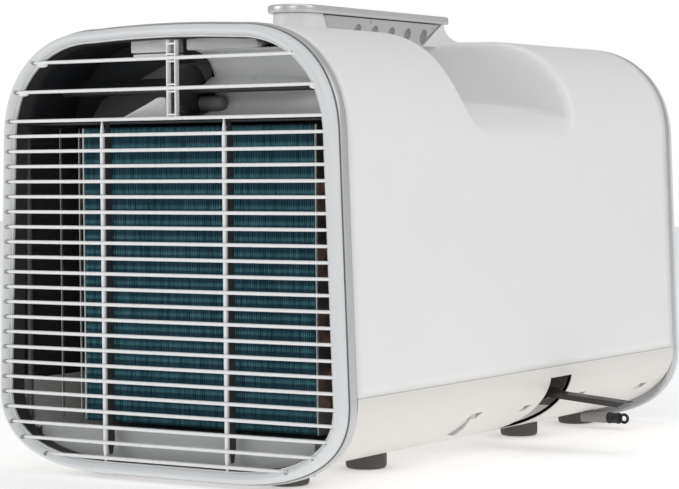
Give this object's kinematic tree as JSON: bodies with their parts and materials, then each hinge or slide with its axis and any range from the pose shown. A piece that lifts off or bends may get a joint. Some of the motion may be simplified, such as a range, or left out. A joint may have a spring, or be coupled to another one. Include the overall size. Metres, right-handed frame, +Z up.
{
  "type": "portable air conditioner",
  "caption": "Carry-handled portable air conditioner with a barred outlet and intake face, finned coil, fan, folding latch levers and rubber feet.",
  "frame": {"origin": "on the floor under the middle of the unit", "axes": "+Z up, -Y out of the barred air face, +X towards the unit's right side as seen from that face"},
  "size_m": [0.4398, 0.569, 0.362],
  "materials": {
    "housing": "smooth white moulded shell",
    "base": "warm off-white moulded tray",
    "trim": "satin silver paint",
    "bezel": "cool light grey moulding",
    "lid": "satin silver paint",
    "grip": "soft-touch grey",
    "button": "light grey caps",
    "display": "dark window",
    "board": "green circuit board",
    "rubber": "dull grey rubber",
    "lever": "black moulding",
    "steel": "zinc plated",
    "spout": "light grey moulding",
    "dark": "black moulding",
    "fins": "blue-green hydrophilic coating",
    "hot_fins": "bare fins",
    "copper": "drawn copper",
    "compressor": "black enamel"
  },
  "bodies": {
    "casing": {"housing_upper": "housing", "base_tray": "base", "front_trim_ring": "trim", "rear_trim_ring": "trim", "front_bezel": "bezel", "rear_bezel": "bezel", "front_grille": "bezel", "rear_grille": "bezel", "handle_lid": "lid", "handle_grip": "grip", "control_board": "board", "display_window": "display", "latch_pin_left": "steel", "latch_pin_right": "steel", "drain_spout": "spout", "evaporator_fins": "fins", "evaporator_tube": "copper", "evaporator_plate_left": "hot_fins", "evaporator_plate_right": "hot_fins", "drip_tray": "spout", "outlet_duct": "spout", "blower_scroll": "dark", "blower_motor": "steel", "bulkhead": "dark", "chassis_plate": "steel", "compressor": "compressor", "compressor_grommet_1": "rubber", "compressor_grommet_2": "rubber", "compressor_grommet_3": "rubber", "condenser_fins": "hot_fins", "condenser_tube": "copper", "fan_shroud": "dark", "fan_motor": "steel", "control_box": "dark", "suction_pipe": "copper", "discharge_pipe": "copper", "filter_drier": "copper", "capillary_tube": "copper", "power_inlet": "dark", "bezel_screw_1": "steel", "bezel_screw_2": "steel", "foot_left_1": "rubber", "foot_left_2": "rubber", "foot_left_3": "rubber", "foot_left_4": "rubber", "foot_right_1": "rubber", "foot_right_2": "rubber", "foot_right_3": "rubber", "foot_right_4": "rubber"},
    "flap": {"outlet_flap": "spout", "flap_wheel": "dark"},
    "blower": {"blower_wheel": "dark"},
    "fan": {"condenser_fan": "dark"},
    "latch_right": {"latch_lever_right": "lever"},
    "latch_left": {"latch_lever_left": "lever"},
    "cap": {"drain_cap": "lever"},
    "key_1": {"button_1": "button"},
    "key_2": {"button_2": "button"},
    "key_3": {"button_3": "button"},
    "key_4": {"button_4": "button"}
  },
  "joints": [
    {"name": "flap_tilt", "type": "hinge", "parent": "casing", "child": "flap", "pos_m": [0, -0.2475, 0.291], "axis": [1, 0, 0], "range_deg": [-22, 22]},
    {"name": "blower_spin", "type": "hinge", "parent": "casing", "child": "blower", "pos_m": [-0.008, -0.16, 0.152], "axis": [0, 1, 0], "continuous": true},
    {"name": "fan_spin", "type": "hinge", "parent": "casing", "child": "fan", "pos_m": [0, 0.18, 0.146], "axis": [0, 1, 0], "continuous": true},
    {"name": "latch_right_swing", "type": "hinge", "parent": "casing", "child": "latch_right", "pos_m": [0.146, 0.0479, 0.046], "axis": [0, 1, 0], "range_deg": [0, 142]},
    {"name": "latch_left_swing", "type": "hinge", "parent": "casing", "child": "latch_left", "pos_m": [-0.146, 0.0479, 0.046], "axis": [0, -1, 0], "range_deg": [0, 142]},
    {"name": "drain_cap_pull", "type": "slide", "parent": "casing", "child": "cap", "axis": [1, 0, 0], "range_m": [0, 0.02]},
    {"name": "button_1_press", "type": "slide", "parent": "casing", "child": "key_1", "axis": [0, 0, -1], "range_m": [0, 0.0012], "stiffness_N_per_m": 400, "springref_m": -0.0005},
    {"name": "button_2_press", "type": "slide", "parent": "casing", "child": "key_2", "axis": [0, 0, -1], "range_m": [0, 0.0012], "stiffness_N_per_m": 400, "springref_m": -0.0005},
    {"name": "button_3_press", "type": "slide", "parent": "casing", "child": "key_3", "axis": [0, 0, -1], "range_m": [0, 0.0012], "stiffness_N_per_m": 400, "springref_m": -0.0005},
    {"name": "button_4_press", "type": "slide", "parent": "casing", "child": "key_4", "axis": [0, 0, -1], "range_m": [0, 0.0012], "stiffness_N_per_m": 400, "springref_m": -0.0005}
  ]
}
